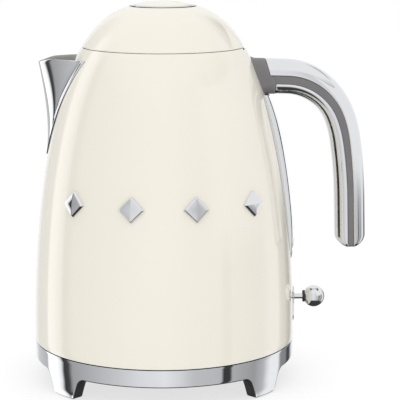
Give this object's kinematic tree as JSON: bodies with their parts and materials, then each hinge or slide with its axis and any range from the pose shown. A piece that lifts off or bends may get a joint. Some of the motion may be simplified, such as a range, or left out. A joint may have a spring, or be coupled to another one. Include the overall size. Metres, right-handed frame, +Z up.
{
  "type": "electric kettle",
  "caption": "Cordless domed enamel kettle on a footed chrome power base, with a beak spout, an open hook handle, a side water gauge, a ball-ended start lever and a push-button lid.",
  "frame": {"origin": "bottom centre of the bounding box, on the surface that the feet stand on", "axes": "+Z up, +X towards the handle and lever, -X towards the spout, +Y towards the cord inlet at the back"},
  "size_m": [0.2184, 0.171, 0.248],
  "materials": {
    "cream_enamel": "glossy enamel over steel",
    "cream_plastic": "glossy, colour matched to the enamel",
    "polished_chrome": "mirror polished chrome plating",
    "grey_plastic": "fine satin grain",
    "black_plastic": "matte moulded nylon",
    "clear_plastic": "clear polished plastic",
    "stainless_steel": "brushed",
    "aluminium": "plain rolled",
    "brass": "plated contact metal",
    "silicone": "soft matte silicone",
    "black_rubber": "matte rubber",
    "spring_steel": "drawn wire"
  },
  "bodies": {
    "power_base": {"base_skirt": "polished_chrome", "base_top_plate": "grey_plastic", "base_bottom_cover": "black_plastic", "base_screws": "spring_steel", "foot_pads": "black_rubber", "coupler_housing": "black_plastic", "coupler_ring_contacts": "brass", "coupler_centre_pin": "brass", "terminal_block": "black_plastic", "cord_inlet_gland": "black_rubber"},
    "coupler": {"coupler_socket": "black_plastic", "socket_contacts": "brass"},
    "jug": {"body_shell": "cream_enamel", "collar_ring": "stainless_steel", "spout": "polished_chrome", "handle_core": "grey_plastic", "handle_outer_shell": "polished_chrome", "handle_inner_shell": "polished_chrome", "handle_bracket": "stainless_steel", "handle_screws": "spring_steel", "gauge_bezel": "polished_chrome", "gauge_gasket": "black_rubber", "gauge_window": "clear_plastic", "hinge_bracket": "stainless_steel", "hinge_pin": "stainless_steel", "vessel_floor": "stainless_steel", "floor_seal": "silicone", "heat_spreader": "aluminium", "heating_element": "aluminium", "steam_tube": "stainless_steel", "jug_bottom_cover": "black_plastic", "bottom_cover_screws": "spring_steel", "control_unit": "black_plastic", "control_pivot_pins": "stainless_steel", "bimetal_disc": "spring_steel", "badge_studs": "polished_chrome", "lever_slot_plate": "polished_chrome"},
    "filter": {"filter_frame": "grey_plastic", "filter_mesh": "stainless_steel"},
    "lid": {"lid_shell": "cream_enamel", "lid_liner": "stainless_steel", "lid_seal": "silicone", "button_ring": "polished_chrome", "button_guide": "grey_plastic", "lid_hinge_arm": "stainless_steel", "lid_torsion_spring": "spring_steel", "lid_screws": "spring_steel", "button_spring": "spring_steel"},
    "button": {"button_cap": "cream_plastic", "button_stem": "grey_plastic"},
    "latch": {"latch_bolt": "grey_plastic"},
    "start_lever": {"lever_arm": "polished_chrome", "lever_knob": "polished_chrome"},
    "rocker": {"trip_rocker": "black_plastic"}
  },
  "joints": [
    {"name": "base_lift", "type": "slide", "parent": "power_base", "child": "coupler", "axis": [0, 0, 1], "range_m": [0, 0.12]},
    {"name": "base_swivel", "type": "hinge", "parent": "coupler", "child": "jug", "pos_m": [-0.0237, 0, 0.04], "axis": [0, 0, 1], "continuous": true},
    {"name": "lid_hinge", "type": "hinge", "parent": "jug", "child": "lid", "pos_m": [0.0253, 0, 0.219], "axis": [0, 1, 0], "range_deg": [0, 80]},
    {"name": "button_press", "type": "slide", "parent": "lid", "child": "button", "axis": [0, 0, -1], "range_m": [0, 0.003], "stiffness_N_per_m": 800, "springref_m": -0.001, "deforming": ["button_spring"]},
    {"name": "latch_slide", "type": "slide", "parent": "lid", "child": "latch", "axis": [1, 0, 0], "range_m": [0, 0.003]},
    {"name": "lever_tilt", "type": "hinge", "parent": "jug", "child": "start_lever", "pos_m": [0.0243, 0, 0.052], "axis": [0, 1, 0], "range_deg": [0, 12]},
    {"name": "rocker_tilt", "type": "hinge", "parent": "jug", "child": "rocker", "pos_m": [0.0043, 0, 0.052], "axis": [0, 1, 0], "range_deg": [-8, 0]},
    {"name": "filter_slide", "type": "slide", "parent": "jug", "child": "filter", "axis": [1, 0, 0], "range_m": [0, 0.02]}
  ],
  "couplings": [
    {"joint": "latch_slide", "follows": "button_press", "ratio": 1},
    {"joint": "rocker_tilt", "follows": "lever_tilt", "ratio": -0.66}
  ]
}
